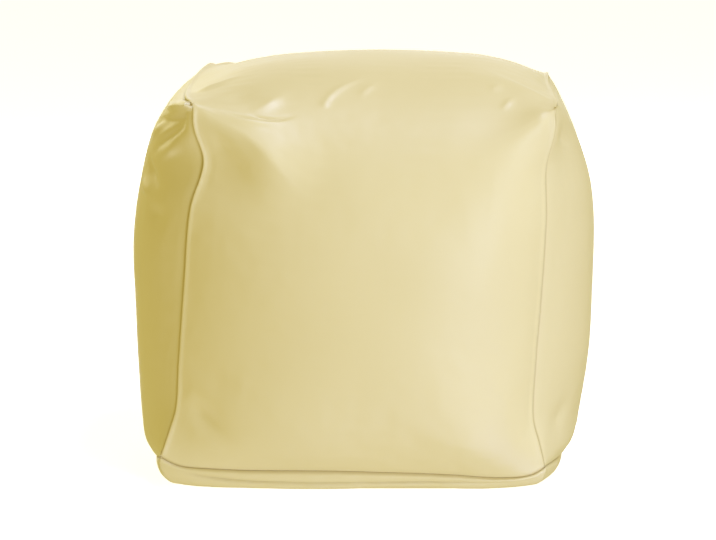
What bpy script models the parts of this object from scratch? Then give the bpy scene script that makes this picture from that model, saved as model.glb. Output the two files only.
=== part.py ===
# Cube pouf stool: a leathercloth cover, sewn from four cut panels, over a loose filling.
# One long strip is the front, the top and the back. Two square panels close the sides
# and one closes the base. The pouf has settled on the floor, so it leans a little and
# its seams wander. +X is right, +Y is back, +Z is up. The origin is the middle of the
# footprint, on the floor.

import math

import bmesh
import bpy
from mathutils import Vector

# Driving dimensions, metres
CUT_EDGE = 0.38  # seam to seam on the flat cloth, for each face of the cube
CLOTH = 0.0015
GAP = 0.0003  # between neighbouring pieces
EDGE_SHIFT = 0.0006  # how far a panel's edge stays back from its seam, along the cloth
REACH_Y = 0.2245  # fullest middle of the front and of the back, from the origin
WAIST_HEIGHT = 0.165  # where the front and the back are fullest
CROWN_HEIGHT = 0.396
FOOT_Y = 0.186  # middle of the front base seam, from the origin
FOOT_HEIGHT = 0.018
SEAM_DIP = 0.0018  # depth of the groove along a sewn seam
SEAM_REACH = 0.014  # cloth on each side that the stitching pulls in
KINK_REACH = 0.12  # how far into a side panel the kinks of its seams are felt
TUCK_REACH = 0.012  # cloth around the tip of an upper corner that its stitching draws in
FOLD_EASE = 0.016  # distance from a seam at which a fold has its full height
FOLD_FADE = 0.6  # share of its rise that a fold loses by its end
FOLD_SHARPNESS = 2.5  # how fast a fold falls away to its sides
CORNER_LIMIT = 1.35  # most that a layer sinks at a sharp corner, in thicknesses
FOOT_REACH = 0.13  # how far up the strip the wander of its base seam is felt

# How the cloth fills out
SHOULDER_ANGLE = math.radians(46)  # where the front turns into the top
UPPER_FULLNESS = 2.8  # exponents of the two halves of the strip's middle profile
LOWER_FULLNESS = 4.55
LEFT_FULLNESS = 2.9  # how soon the strip fills out from its side seams
RIGHT_FULLNESS = 5.6
LEFT_TOP_FULLNESS = 3.1  # the same on the top, reached over a blend along the strip
RIGHT_TOP_FULLNESS = 4.8
TOP_STARTS, TOP_BLEND = 0.8, 0.5
SLACK_FULLNESS = 1.75  # on the left of the front, where a big fold slackens the cloth
SLACK_ALONG, SLACK_REACH = 0.82, 0.17
SIDE_FULLNESS = 3.2  # of a side panel, from its front and back seams
SHOULDER_SOFTNESS = 0.55  # share of a face over which a seam's bends fade away
FLAT_CLOTH = 0.84  # share of the base panel's cloth that lies on the floor
FLAT_REACH = 0.935  # share of the way from the middle to the seams that this cloth covers
SQUARENESS = 8.0  # exponent of the flat part's rounded square

# Distances from the nearest seam, along the cloth, of the lines that a panel is drawn on
LINES = (0.0, 0.006, 0.014, 0.026, 0.044, 0.066, 0.092, 0.122, 0.155)
SHARP_ANGLE = math.radians(60)  # edges sharper than this are shaded as edges

# How far the middle of a side panel stands out from the surface ruled between its seams,
# by the share of the way up
SIDE_SWELL = [
    dict(up=0.000, left=0.0000, right=0.0000),
    dict(up=0.040, left=-0.0138, right=0.0138),
    dict(up=0.100, left=-0.0198, right=0.0206),
    dict(up=0.180, left=-0.0252, right=0.0298),
    dict(up=0.300, left=-0.0324, right=0.0400),
    dict(up=0.420, left=-0.0382, right=0.0452),
    dict(up=0.550, left=-0.0438, right=0.0480),
    dict(up=0.650, left=-0.0436, right=0.0476),
    dict(up=0.760, left=-0.0402, right=0.0428),
    dict(up=0.860, left=-0.0345, right=0.0300),
    dict(up=0.920, left=-0.0274, right=0.0190),
    dict(up=0.965, left=-0.0166, right=0.0110),
    dict(up=1.000, left=0.0000, right=0.0000),
]
# The upright seams, by the share of the way up
FRONT_SEAMS = [
    dict(up=0.00, left_x=-0.1920, right_x=0.1699, y=-0.1765),
    dict(up=0.07, left_x=-0.1838, right_x=0.1640, y=-0.1750),
    dict(up=0.14, left_x=-0.1767, right_x=0.1580, y=-0.1735),
    dict(up=0.27, left_x=-0.1738, right_x=0.1592, y=-0.1720),
    dict(up=0.50, left_x=-0.1680, right_x=0.1650, y=-0.1705),
    dict(up=0.70, left_x=-0.1621, right_x=0.1686, y=-0.1715),
    dict(up=0.83, left_x=-0.1498, right_x=0.1682, y=-0.1710),
    dict(up=0.93, left_x=-0.1588, right_x=0.1765, y=-0.1735),
    dict(up=1.00, left_x=-0.1600, right_x=0.1780, y=-0.1755),
]
BACK_SEAMS = [
    dict(up=0.00, left_x=-0.1880, right_x=0.1760, y=0.1765),
    dict(up=0.16, left_x=-0.1760, right_x=0.1660, y=0.1735),
    dict(up=0.50, left_x=-0.1690, right_x=0.1680, y=0.1705),
    dict(up=0.84, left_x=-0.1620, right_x=0.1760, y=0.1720),
    dict(up=1.00, left_x=-0.1565, right_x=0.1930, y=0.1750),
]
# The level seams of the side panels, by the share of the way from front to back
TOP_SEAMS = [
    dict(back=0.00, left_x=-0.1600, left_z=0.3645, right_x=0.1780, right_z=0.3600),
    dict(back=0.06, left_x=-0.1665, left_z=0.3645, right_x=0.1800, right_z=0.3610),
    dict(back=0.20, left_x=-0.1697, left_z=0.3635, right_x=0.1800, right_z=0.3620),
    dict(back=0.50, left_x=-0.1725, left_z=0.3610, right_x=0.1820, right_z=0.3630),
    dict(back=0.80, left_x=-0.1670, left_z=0.3680, right_x=0.1870, right_z=0.3640),
    dict(back=1.00, left_x=-0.1565, left_z=0.3745, right_x=0.1930, right_z=0.3620),
]
BASE_SEAMS = [
    dict(back=0.00, left_x=-0.1920, left_z=0.0312, right_x=0.1699, right_z=0.0211),
    dict(back=0.10, left_x=-0.1970, left_z=0.0228, right_x=0.1800, right_z=0.0187),
    dict(back=0.20, left_x=-0.2000, left_z=0.0168, right_x=0.1880, right_z=0.0165),
    dict(back=0.32, left_x=-0.2020, left_z=0.0152, right_x=0.1930, right_z=0.0160),
    dict(back=0.50, left_x=-0.2032, left_z=0.0145, right_x=0.1955, right_z=0.0155),
    dict(back=0.80, left_x=-0.1990, left_z=0.0165, right_x=0.1870, right_z=0.0170),
    dict(back=1.00, left_x=-0.1880, left_z=0.0220, right_x=0.1760, right_z=0.0210),
]
# How far the strip's base seams lie off their even line, by the share from left to right
FOOT_WANDER = [
    dict(across=0.00, front=0.0000, back=0.0000),
    dict(across=0.03, front=-0.0045, back=-0.0005),
    dict(across=0.06, front=-0.0066, back=-0.0008),
    dict(across=0.10, front=-0.0062, back=-0.0010),
    dict(across=0.19, front=-0.0048, back=-0.0008),
    dict(across=0.40, front=-0.0015, back=0.0000),
    dict(across=0.64, front=-0.0012, back=0.0010),
    dict(across=0.76, front=-0.0020, back=0.0014),
    dict(across=0.88, front=-0.0050, back=0.0015),
    dict(across=0.96, front=-0.0052, back=0.0008),
    dict(across=1.00, front=0.0000, back=0.0000),
]
# The upper corners: where each is on the strip, and how far its tip is drawn in
TIPS = [
    dict(side="left", back=0, across=0, along=1, tuck=0.003),
    dict(side="right", back=0, across=1, along=1, tuck=0.003),
    dict(side="left", back=1, across=0, along=2, tuck=0.006),
    dict(side="right", back=1, across=1, along=2, tuck=0.007),
]
# Folds, on the flat cloth, metres. The strip is measured from its left end at the front
# foot: across, then along the front, the top and the back. A side panel is measured from
# its lower front corner: back, then up. A negative rise is a hollow.
FOLDS = {
    "strip": [
        dict(start=(0.006, 0.378), end=(0.112, 0.298), width=0.060, rise=0.0050),
        dict(start=(0.006, 0.352), end=(0.084, 0.276), width=0.036, rise=-0.0036),
        dict(start=(0.010, 0.750), end=(0.064, 0.718), width=0.030, rise=0.0036),
        dict(start=(0.058, 0.384), end=(0.102, 0.428), width=0.014, rise=0.0030),
        dict(start=(0.376, 0.380), end=(0.290, 0.336), width=0.022, rise=0.0034),
        dict(start=(0.372, 0.412), end=(0.292, 0.492), width=0.024, rise=0.0032),
        dict(start=(0.006, 0.060), end=(0.070, 0.040), width=0.016, rise=-0.0028),
        dict(start=(0.352, 0.788), end=(0.270, 0.846), width=0.024, rise=0.0034),
        dict(start=(0.364, 0.818), end=(0.300, 0.850), width=0.030, rise=-0.0026),
        dict(start=(0.010, 0.775), end=(0.060, 0.812), width=0.022, rise=0.0034),
        dict(start=(0.012, 1.040), end=(0.060, 1.100), width=0.024, rise=-0.0030),
    ],
    "left": [
        dict(start=(0.008, 0.360), end=(0.160, 0.345), width=0.018, rise=-0.0050),
        dict(start=(0.110, 0.318), end=(0.034, 0.284), width=0.014, rise=-0.0036),
        dict(start=(0.360, 0.340), end=(0.280, 0.300), width=0.020, rise=-0.0034),
        dict(start=(0.368, 0.030), end=(0.310, 0.075), width=0.020, rise=-0.0028),
    ],
    "right": [
        dict(start=(0.350, 0.320), end=(0.270, 0.300), width=0.024, rise=-0.0036),
        dict(start=(0.020, 0.030), end=(0.070, 0.070), width=0.018, rise=-0.0024),
    ],
    "base": [],
}

LEATHERCLOTH = dict(roughness=0.46, metallic=0.0)
CREAM = (0.775, 0.671, 0.386)
SHADES = {"filled_wrap": 1.0, "side_panel_left": 0.97, "side_panel_right": 0.98, "base_panel": 0.94}

PLACES = [line / CUT_EDGE for line in LINES]
PLACES += [0.5] + [1 - place for place in reversed(PLACES)]
LAST = len(PLACES) - 1


def from_table(table, key, column, share):
    """A column's value at a share of the way down its table, on a smooth curve."""
    last = len(table) - 1
    row = max(i for i in range(last) if i == 0 or table[i][key] <= share)
    picked = [table[min(max(i, 0), last)] for i in range(row - 1, row + 3)]
    before, here, there, after = ((line[key], line[column]) for line in picked)
    span = there[0] - here[0]
    slope_here = (there[1] - before[1]) / (there[0] - before[0])
    slope_there = (after[1] - here[1]) / (after[0] - here[0])
    s = min(max((share - here[0]) / span, 0.0), 1.0)
    ends = (2 * s**3 - 3 * s**2 + 1) * here[1] + (3 * s**2 - 2 * s**3) * there[1]
    bends = (s**3 - 2 * s**2 + s) * slope_here + (s**3 - s**2) * slope_there
    return ends + span * bends


def upright_seam(table, row, side, up):
    """A point of a front or back seam; row is 0 for the front and -1 for the back."""
    foot, head = BASE_SEAMS[row][side + "_z"], TOP_SEAMS[row][side + "_z"]
    x = from_table(table, "up", side + "_x", up)
    y = from_table(table, "up", "y", up)
    return Vector((x, y, foot + (head - foot) * up))


def level_seam(table, row, side, back):
    """A point of a side panel's base seam (row 0) or top seam (row -1)."""
    front_y, back_y = FRONT_SEAMS[row]["y"], BACK_SEAMS[row]["y"]
    x = from_table(table, "back", side + "_x", back)
    z = from_table(table, "back", side + "_z", back)
    return Vector((x, front_y + (back_y - front_y) * back, z))


def strip_seam(side, along):
    """A point of the strip's side seam; along is 0 at the front foot, 3 at the back foot."""
    along = min(max(along, 0.0), 3.0)
    if along <= 1:
        return upright_seam(FRONT_SEAMS, 0, side, along)
    if along < 2:
        return level_seam(TOP_SEAMS, -1, side, along - 1)
    return upright_seam(BACK_SEAMS, -1, side, 3 - along)


def soft_seam(side, along, softness):
    """The strip's side seam with its bends smoothed over a softness to either side."""
    weights = (1, 2, 3, 4, 3, 2, 1)
    total = Vector((0, 0, 0))
    for index, weight in enumerate(weights):
        step = (index - len(weights) // 2) / (len(weights) // 2 + 1)
        total += weight * strip_seam(side, along + softness * step)
    # Near the feet it keeps to the true seam
    free = min(1.0, min(along, 3 - along) / softness) if softness > 0 else 1.0
    return strip_seam(side, along).lerp(total / sum(weights), free)


def middle_profile(along):
    """The (y, z) of the strip half way between its side seams."""
    foot_angle = math.atan2(FOOT_HEIGHT - WAIST_HEIGHT, FOOT_Y)
    from_foot = min(along, 3 - along)
    if from_foot <= 1:
        angle = foot_angle + (SHOULDER_ANGLE - foot_angle) * from_foot
    else:
        angle = SHOULDER_ANGLE + (math.pi / 2 - SHOULDER_ANGLE) * 2 * (from_foot - 1)
    height, power = CROWN_HEIGHT - WAIST_HEIGHT, UPPER_FULLNESS
    if angle < 0:
        height, power = WAIST_HEIGHT, LOWER_FULLNESS
    flat, rise = math.cos(angle), math.sin(angle)
    reach = ((flat / REACH_Y) ** power + (abs(rise) / height) ** power) ** (-1 / power)
    front_or_back = -1 if along < 1.5 else 1
    return front_or_back * reach * flat, WAIST_HEIGHT + reach * rise


def strip_point(across, along):
    """A point of the strip; across runs from 0 at the left seam to 1 at the right one."""
    from_middle = abs(2 * across - 1)
    softness = SHOULDER_SOFTNESS * (1 - from_middle)
    left, right = (soft_seam(side, along, softness) for side in ("left", "right"))
    between = left.lerp(right, 0.5)
    y, z = middle_profile(along)
    on_top = min(max((min(along, 3 - along) - TOP_STARTS) / TOP_BLEND, 0.0), 1.0)
    if across < 0.5:
        slack = math.exp(-(((along - SLACK_ALONG) / SLACK_REACH) ** 2))
        power = LEFT_FULLNESS + (LEFT_TOP_FULLNESS - LEFT_FULLNESS) * on_top
        power += (SLACK_FULLNESS - LEFT_FULLNESS) * slack
    else:
        power = RIGHT_FULLNESS + (RIGHT_TOP_FULLNESS - RIGHT_FULLNESS) * on_top
    fullness = 1 - from_middle**power
    point = left.lerp(right, across) + Vector((0, y - between.y, z - between.z)) * fullness
    for wander, from_foot in (("front", along), ("back", 3 - along)):
        near = max(0.0, 1 - from_foot * CUT_EDGE / FOOT_REACH)
        point.z += from_table(FOOT_WANDER, "across", wander, across) * near**2
    return point


def between_seams(front, back, low, high, u, v):
    """The ruled surface that joins four border lines (a Coons patch)."""
    ruled = front(v).lerp(back(v), u) + low(u).lerp(high(u), v)
    return ruled - low(0).lerp(low(1), u).lerp(high(0).lerp(high(1), u), v)


def calmed(seam, away):
    """A seam's line as it is felt away from it: its kinks fade, its long bow stays."""
    felt = max(0.0, 1 - away * CUT_EDGE / KINK_REACH) ** 2

    def line(s):
        foot, middle, head = seam(0.0), seam(0.5), seam(1.0)
        bow = foot * (1 - s) * (1 - 2 * s) + middle * 4 * s * (1 - s) + head * s * (2 * s - 1)
        return bow.lerp(seam(s), felt)

    return line


def side_point(side, back, up):
    """A point of a side panel: its seams' surface, blown out by the filling."""
    borders = (
        calmed(lambda s: strip_seam(side, s), back),
        calmed(lambda s: strip_seam(side, 3 - s), 1 - back),
        calmed(lambda s: level_seam(BASE_SEAMS, 0, side, s), up),
        calmed(lambda s: strip_seam(side, 1 + s), 1 - up),
    )
    out = from_table(SIDE_SWELL, "up", side, up) * (1 - abs(2 * back - 1) ** SIDE_FULLNESS)
    return between_seams(*borders, back, up) + Vector((out, 0, 0))


def base_point(across, back):
    """A point of the base: flat on the floor, with a rim that turns up to the seams."""
    u, v = 2 * across - 1, 2 * back - 1
    out = max(abs(u), abs(v))
    if out == 0:
        corner = 1.0
    else:
        corner = ((abs(u) / out) ** SQUARENESS + (abs(v) / out) ** SQUARENESS) ** (1 / SQUARENESS)
    flat_cloth, flat_reach = FLAT_CLOTH / corner, FLAT_REACH / corner
    turn = max(0.0, (out - flat_cloth) / (1 - flat_cloth)) * math.pi / 2
    reach = flat_reach * out / flat_cloth
    if turn > 0:
        reach = flat_reach + (1 - flat_reach) * math.sin(turn)
    scale = reach / out if out else 1.0
    plan = between_seams(
        lambda s: level_seam(BASE_SEAMS, 0, "left", s),
        lambda s: level_seam(BASE_SEAMS, 0, "right", s),
        lambda s: strip_point(s, 0),
        lambda s: strip_point(s, 3),
        (1 + u * scale) / 2,
        (1 + v * scale) / 2,
    )
    return Vector((plan.x, plan.y, plan.z * (1 - math.cos(turn))))


def fold_lift(folds, here):
    """How far the folds lift the cloth at a place of the flat panel."""
    lift = 0.0
    for fold in folds:
        start, run = Vector(fold["start"]), Vector(fold["end"]) - Vector(fold["start"])
        share = min(max((here - start).dot(run) / run.length_squared, 0.0), 1.0)
        away = (here - start - run * share).length / fold["width"]
        lift += fold["rise"] * (1 - FOLD_FADE * share) * math.exp(-FOLD_SHARPNESS * away**2)
    return lift


def tip_tuck(panel, place, point):
    """How far a place on a panel is drawn in towards the pouf's middle by the tips of the
    upper corners."""
    total = Vector((0, 0, 0))
    for tip in TIPS:
        if panel in ("strip", tip["side"]):
            corner = (tip["across"], tip["along"]) if panel == "strip" else (tip["back"], 1)
            away = (Vector(place) - Vector(corner)).length * CUT_EDGE / TUCK_REACH
            way = (Vector((0, 0, CROWN_HEIGHT / 2)) - point).normalized()
            total += way * tip["tuck"] * math.exp(-away)
    return total


def on_panel(i, j, k):
    """The panel, place on it and distance to its nearest seam, for a point of the cube's
    lattice; i, j and k count the drawn lines to the right, to the back and up."""
    right, back, up = PLACES[i], PLACES[j], PLACES[k]
    to_side, to_end = min(right, 1 - right), min(back, 1 - back)
    if j in (0, LAST) or k == LAST:
        along = up if j == 0 else 3 - up if j == LAST else 1 + back
        return "strip", (right, along), min(to_side, along, 3 - along)
    if i in (0, LAST):
        return "left" if i == 0 else "right", (back, up), min(to_end, up, 1 - up)
    return "base", (right, back), min(to_side, to_end)


def lattice_triangles():
    """The cube's surface as triangles of lattice points, wound to face outward. Their
    long sides run towards each face's corners."""
    for a in range(LAST):
        for b in range(LAST):
            ring = [(a, b), (a + 1, b), (a + 1, b + 1), (a, b + 1)]
            if (2 * a < LAST) != (2 * b < LAST):
                ring.append(ring.pop(0))
            for corners in (ring[:3], ring[2:] + ring[:1]):
                turned = corners[::-1]
                yield "strip", [(p, 0, q) for p, q in corners]
                yield "strip", [(p, q, LAST) for p, q in corners]
                yield "strip", [(p, LAST, q) for p, q in turned]
                yield "left", [(0, p, q) for p, q in turned]
                yield "right", [(LAST, p, q) for p, q in corners]
                yield "base", [(p, q, 0) for p, q in turned]


def skin_mesh():
    """The whole outer skin as one closed mesh, and its vertex for each lattice point."""
    draw = {
        "strip": strip_point,
        "left": lambda back, up: side_point("left", back, up),
        "right": lambda back, up: side_point("right", back, up),
        "base": base_point,
    }
    skin, vertices = bmesh.new(), {}
    for _panel, triangle in lattice_triangles():
        for point in triangle:
            if point not in vertices:
                panel, place, _to_seam = on_panel(*point)
                drawn = draw[panel](*place)
                vertices[point] = skin.verts.new(drawn + tip_tuck(panel, place, drawn))
        skin.faces.new([vertices[point] for point in triangle])
    skin.normal_update()
    return skin, vertices


def inward_ways(vertices):
    """The way inward at each lattice point, between the panels that meet there. It is
    longer at a seam, so that a layer keeps its thickness on both sides."""
    panels_met = {point: {} for point in vertices}
    for panel, triangle in lattice_triangles():
        corners = [vertices[point].co for point in triangle]
        square = (corners[1] - corners[0]).cross(corners[2] - corners[0]).normalized()
        for number, point in enumerate(triangle):
            sides = [corners[number - step] - corners[number] for step in (1, 2)]
            so_far = panels_met[point].get(panel, Vector((0, 0, 0)))
            panels_met[point][panel] = so_far + square * sides[0].angle(sides[1])
    inward = {}
    for point, normals in panels_met.items():
        normals = [normal.normalized() for normal in normals.values()]
        out = sum(normals, Vector((0, 0, 0))).normalized()
        lean = min(out.dot(normal) for normal in normals)
        inward[point] = -out * (1 / lean if lean * CORNER_LIMIT > 1 else CORNER_LIMIT)
    return inward


def shaped_skin():
    """Outer points and inward directions of the skin, with its folds and seam grooves."""
    skin, vertices = skin_mesh()
    moves = {}
    for point, vertex in vertices.items():
        panel, place, to_seam = on_panel(*point)
        pull = max(0.0, 1 - to_seam * CUT_EDGE / SEAM_REACH)
        free = min(1.0, to_seam * CUT_EDGE / FOLD_EASE)
        lift = fold_lift(FOLDS[panel], Vector(place) * CUT_EDGE) * free - SEAM_DIP * pull**2
        moves[point] = vertex.normal * (0.0 if vertex.co.z <= 0 else lift)
    for point, move in moves.items():
        vertices[point].co += move
    outer = {point: vertex.co.copy() for point, vertex in vertices.items()}
    inward = inward_ways(vertices)
    skin.free()
    return outer, inward


def leathercloth(name):
    material = bpy.data.materials.new(name + "_leathercloth")
    material.use_nodes = True
    shader = material.node_tree.nodes["Principled BSDF"]
    shade = SHADES[name]
    shader.inputs["Base Color"].default_value = (*(shade * part for part in CREAM), 1)
    shader.inputs["Roughness"].default_value = LEATHERCLOTH["roughness"]
    shader.inputs["Metallic"].default_value = LEATHERCLOTH["metallic"]
    return material


def add_object(name, triangles, points):
    """An object from triangles of keys into points."""
    index = {key: number for number, key in enumerate(points)}
    faces = [[index[key] for key in triangle] for triangle in triangles]
    mesh = bpy.data.meshes.new(name)
    mesh.from_pydata(list(points.values()), [], faces)
    mesh.materials.append(leathercloth(name))
    mesh.shade_smooth()
    mesh.set_sharp_from_angle(angle=SHARP_ANGLE)
    thing = bpy.data.objects.new(name, mesh)
    bpy.context.scene.collection.objects.link(thing)
    return thing


def rim_walls(triangles, outside, inside):
    """Two triangles for each free edge of a surface, between two layers of its points."""
    edges = [(t[n], t[(n + 1) % 3]) for t in triangles for n in range(3)]
    taken = set(edges)
    for a, b in edges:
        if (b, a) not in taken:
            yield [(b, outside), (a, outside), (a, inside)]
            yield [(b, outside), (a, inside), (b, inside)]


def add_filled_wrap(outer, inward):
    """The filling with the strip as its skin, sunk behind the sides and the base."""
    sunk = CLOTH + GAP
    triangles, points = [], {}
    for panel, triangle in lattice_triangles():
        depth = 0.0 if panel == "strip" else sunk
        triangles.append([(point, depth) for point in triangle])
        points.update({(p, depth): outer[p] + inward[p] * depth for p in triangle})
    strip = [triangle for panel, triangle in lattice_triangles() if panel == "strip"]
    triangles += rim_walls(strip, 0.0, sunk)
    return add_object("filled_wrap", triangles, points)


def off_seam(point, fixed, layer):
    """A panel's point on one layer, moved a little way in from its seams; fixed is the
    lattice direction that does not change on the panel."""
    inner = tuple(c if n == fixed else min(max(c, 1), LAST - 1) for n, c in enumerate(point))
    seams = sum(a != b for a, b in zip(inner, point))
    if not seams:
        return layer[point]
    return layer[point] + (layer[inner] - layer[point]).normalized() * EDGE_SHIFT * seams**0.5


def add_panel(name, panel, outer, inward):
    """A cut panel as a sheet, its edge a gap away from the panels that it is sewn to."""
    face = [triangle for this, triangle in lattice_triangles() if this == panel]
    fixed = 2 if panel == "base" else 0
    points, triangles = {}, []
    for depth in (0.0, CLOTH):
        layer = {point: outer[point] + inward[point] * depth for point in outer}
        for point in {point: None for triangle in face for point in triangle}:
            points[point, depth] = off_seam(point, fixed, layer)
    for triangle in face:
        triangles.append([(point, 0.0) for point in triangle])
        triangles.append([(point, CLOTH) for point in reversed(triangle)])
    triangles += rim_walls(face, 0.0, CLOTH)
    return add_object(name, triangles, points)


def main():
    for thing in list(bpy.data.objects):
        bpy.data.objects.remove(thing, do_unlink=True)
    outer, inward = shaped_skin()
    add_filled_wrap(outer, inward)
    add_panel("side_panel_left", "left", outer, inward)
    add_panel("side_panel_right", "right", outer, inward)
    add_panel("base_panel", "base", outer, inward)


main()
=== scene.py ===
import math
import bpy
import numpy as np
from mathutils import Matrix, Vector, noise


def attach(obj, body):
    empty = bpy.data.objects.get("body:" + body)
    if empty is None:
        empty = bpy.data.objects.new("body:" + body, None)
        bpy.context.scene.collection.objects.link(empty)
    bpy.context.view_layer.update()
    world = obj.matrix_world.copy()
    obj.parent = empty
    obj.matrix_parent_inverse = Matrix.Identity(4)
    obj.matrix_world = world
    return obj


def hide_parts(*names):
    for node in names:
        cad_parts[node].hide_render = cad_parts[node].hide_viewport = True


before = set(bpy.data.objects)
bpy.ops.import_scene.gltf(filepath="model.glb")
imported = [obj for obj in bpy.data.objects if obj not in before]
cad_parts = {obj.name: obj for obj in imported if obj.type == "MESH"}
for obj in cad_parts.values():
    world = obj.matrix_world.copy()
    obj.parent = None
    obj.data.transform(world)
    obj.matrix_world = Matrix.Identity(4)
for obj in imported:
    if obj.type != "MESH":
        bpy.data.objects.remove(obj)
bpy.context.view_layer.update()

print("frame loaded")

# The pouf: one long strip is its front, top and back, two panels close the sides and one the base.
# Lengths are in metres; shares run from 0 to 1 from seam to seam.
pouf = {
    "cutEdge": 0.38,  # seam to seam on the flat cloth
    "cloth": 0.0015,
    "gap": 0.0003,
    "edgeShift": 0.0003,  # how far a panel's edge stays back from its seam
    "reachY": 0.2225,  # fullest middle of the front and the back
    "waistHeight": 0.165,
    "crownHeight": 0.3932,
    "footY": 0.186,
    "footHeight": 0.018,
    "footReach": 0.13,  # how far up the wander of the base seam is felt
    "kinkReach": 0.12,  # how far into a side panel its seams' kinks are felt
    "shoulderAngle": math.radians(46),
    "shoulderSoftness": 0.55,
    "upperFullness": 2.8,
    "lowerFullness": 4.55,
    "leftFullness": 2.9,
    "leftTopFullness": 3.1,
    "leftFoldFullness": 1.75,  # where the big fold slackens the front
    "foldAlong": 0.82,
    "foldReach": 0.17,
    "rightFullness": 5.6,
    "rightTopFullness": 4.8,
    "sideFullness": 3.2,
    "flatCloth": 0.84,  # share of the base panel that lies on the floor
    "flatReach": 0.935,  # how far out it has run there, as a share of the footprint
    "squareness": 8.0,  # of the part that lies flat
    "topStarts": 0.8,  # the sides' fullness turns into the top's from here, along the strip
    "topBlend": 0.5,
    "cornerLimit": 1.35,  # most that a layer is deepened at a sharp edge
    "leastLean": 0.1,  # lets the deepening be worked out at a folded point
    "hidden": 0.006,  # depth of the filling behind the side and base panels
    "hiddenMargin": 14,  # lines between a hidden face's edge and its coarse middle
    "hiddenStride": 6,  # lines in one cell of that middle
    "sharpAngle": math.radians(50),
}
# Distances between the lines of the fine mesh: close at a seam, wide away from it
meshLines = {"first": 0.0005, "widest": 0.0026, "growth": 1.11}
# How far the middle of a side panel stands out in x from the surface ruled between its seams
sideSwell = [
    dict(up=0.000, left=0.0000, right=0.0000),
    dict(up=0.040, left=-0.0138, right=0.0138),
    dict(up=0.100, left=-0.0198, right=0.0206),
    dict(up=0.180, left=-0.0252, right=0.0298),
    dict(up=0.300, left=-0.0324, right=0.0400),
    dict(up=0.420, left=-0.0382, right=0.0452),
    dict(up=0.550, left=-0.0438, right=0.0480),
    dict(up=0.650, left=-0.0436, right=0.0476),
    dict(up=0.760, left=-0.0402, right=0.0428),
    dict(up=0.860, left=-0.0345, right=0.0300),
    dict(up=0.920, left=-0.0274, right=0.0190),
    dict(up=0.965, left=-0.0166, right=0.0110),
    dict(up=1.000, left=0.0000, right=0.0000),
]
# The seams of the strip, from the base up, and over the top from the front to the back
frontSeams = [
    dict(up=0.00, leftX=-0.1920, rightX=0.1699, y=-0.1765),
    dict(up=0.07, leftX=-0.1838, rightX=0.1640, y=-0.1750),
    dict(up=0.14, leftX=-0.1767, rightX=0.1580, y=-0.1735),
    dict(up=0.27, leftX=-0.1738, rightX=0.1592, y=-0.1720),
    dict(up=0.50, leftX=-0.1680, rightX=0.1650, y=-0.1705),
    dict(up=0.70, leftX=-0.1621, rightX=0.1686, y=-0.1715),
    dict(up=0.83, leftX=-0.1498, rightX=0.1682, y=-0.1710),
    dict(up=0.93, leftX=-0.1588, rightX=0.1765, y=-0.1735),
    dict(up=1.00, leftX=-0.1600, rightX=0.1780, y=-0.1755),
]
backSeams = [
    dict(up=0.00, leftX=-0.1880, rightX=0.1760, y=0.1765),
    dict(up=0.16, leftX=-0.1760, rightX=0.1660, y=0.1735),
    dict(up=0.50, leftX=-0.1690, rightX=0.1680, y=0.1705),
    dict(up=0.84, leftX=-0.1620, rightX=0.1760, y=0.1720),
    dict(up=1.00, leftX=-0.1565, rightX=0.1930, y=0.1750),
]
topSeams = [
    dict(back=0.00, leftX=-0.1600, leftZ=0.3645, rightX=0.1780, rightZ=0.3600),
    dict(back=0.06, leftX=-0.1665, leftZ=0.3645, rightX=0.1800, rightZ=0.3610),
    dict(back=0.20, leftX=-0.1697, leftZ=0.3635, rightX=0.1800, rightZ=0.3620),
    dict(back=0.50, leftX=-0.1725, leftZ=0.3610, rightX=0.1820, rightZ=0.3630),
    dict(back=0.80, leftX=-0.1670, leftZ=0.3680, rightX=0.1870, rightZ=0.3640),
    dict(back=1.00, leftX=-0.1565, leftZ=0.3745, rightX=0.1930, rightZ=0.3620),
]
# The base seams under the side panels
baseSeams = [
    dict(back=0.00, leftX=-0.1920, leftZ=0.0312, rightX=0.1699, rightZ=0.0211),
    dict(back=0.10, leftX=-0.1970, leftZ=0.0228, rightX=0.1800, rightZ=0.0187),
    dict(back=0.20, leftX=-0.2000, leftZ=0.0168, rightX=0.1880, rightZ=0.0165),
    dict(back=0.32, leftX=-0.2020, leftZ=0.0152, rightX=0.1930, rightZ=0.0160),
    dict(back=0.50, leftX=-0.2032, leftZ=0.0145, rightX=0.1955, rightZ=0.0155),
    dict(back=0.80, leftX=-0.1990, leftZ=0.0165, rightX=0.1870, rightZ=0.0170),
    dict(back=1.00, leftX=-0.1880, leftZ=0.0220, rightX=0.1760, rightZ=0.0210),
]
# Height of the front and back base seams over a straight line between their ends
footWander = [
    dict(across=0.00, front=0.0000, back=0.0000),
    dict(across=0.03, front=-0.0045, back=-0.0005),
    dict(across=0.06, front=-0.0066, back=-0.0008),
    dict(across=0.10, front=-0.0062, back=-0.0010),
    dict(across=0.19, front=-0.0048, back=-0.0008),
    dict(across=0.40, front=-0.0015, back=0.0000),
    dict(across=0.64, front=-0.0012, back=0.0010),
    dict(across=0.76, front=-0.0020, back=0.0014),
    dict(across=0.88, front=-0.0050, back=0.0015),
    dict(across=0.96, front=-0.0052, back=0.0008),
    dict(across=1.00, front=0.0000, back=0.0000),
]


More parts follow.
